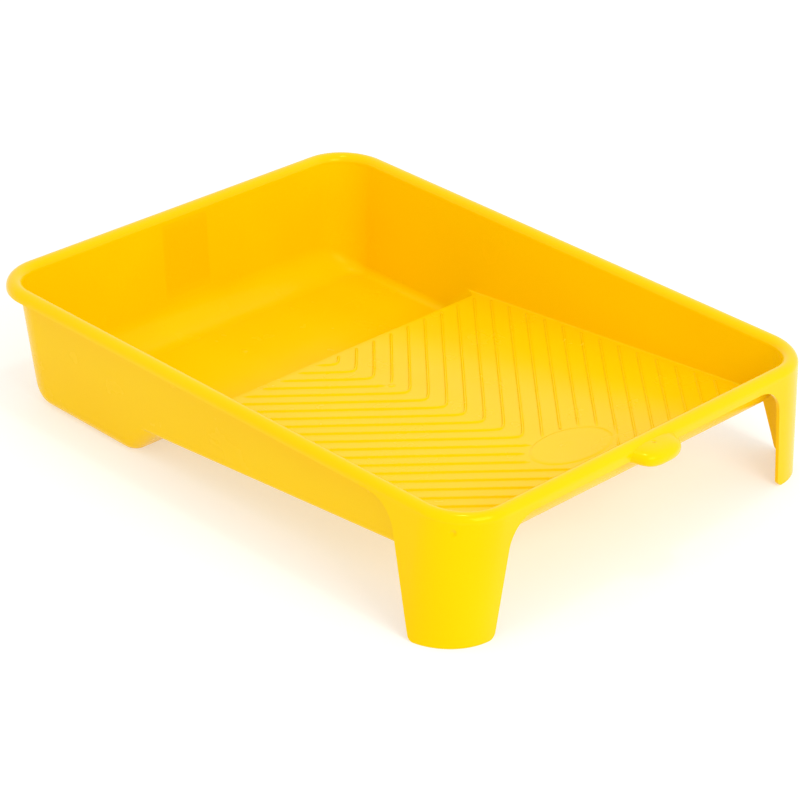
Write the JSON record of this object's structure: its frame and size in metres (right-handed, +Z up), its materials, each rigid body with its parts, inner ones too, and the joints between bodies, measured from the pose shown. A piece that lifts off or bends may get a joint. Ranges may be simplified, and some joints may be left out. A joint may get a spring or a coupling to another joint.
{
  "type": "paint roller tray",
  "caption": "Shallow plastic paint roller tray: deep well at the back, sloping ribbed ramp, rolled rim, corner legs at the front and a small hanging tab.",
  "frame": {"origin": "on the floor, under the middle of the overall length and width", "axes": "+X across the tray to the right as seen from the front legs, +Y from the low front rim with its legs and tab to the deep well at the back, +Z up"},
  "size_m": [0.2824, 0.361, 0.07],
  "materials": {
    "basin_plastic": "smooth moulded polypropylene",
    "leg_plastic": "smooth moulded polypropylene",
    "ramp_plastic": "smooth moulded polypropylene",
    "rim_plastic": "smooth moulded polypropylene"
  },
  "bodies": {
    "root": {"back_cove": "basin_plastic", "back_left_corner": "basin_plastic", "back_right_corner": "basin_plastic", "back_wall": "basin_plastic", "front_left_corner": "basin_plastic", "front_right_corner": "basin_plastic", "front_skirt": "leg_plastic", "front_wall": "basin_plastic", "hanging_tab": "leg_plastic", "label_panel": "basin_plastic", "left_leg": "leg_plastic", "plain_badge": "ramp_plastic", "ramp": "ramp_plastic", "ramp_gate_mark": "ramp_plastic", "ramp_left_wall": "basin_plastic", "ramp_right_wall": "basin_plastic", "right_leg": "leg_plastic", "rim_back": "rim_plastic", "rim_back_left_corner": "rim_plastic", "rim_back_right_corner": "rim_plastic", "rim_front": "rim_plastic", "rim_front_left_corner": "rim_plastic", "rim_front_right_corner": "rim_plastic", "rim_left": "rim_plastic", "rim_right": "rim_plastic", "rolling_ribs": "ramp_plastic", "step_riser": "basin_plastic", "well_floor": "basin_plastic", "well_gate_mark": "basin_plastic", "well_left_wall": "basin_plastic", "well_right_wall": "basin_plastic"}
  },
  "joints": []
}
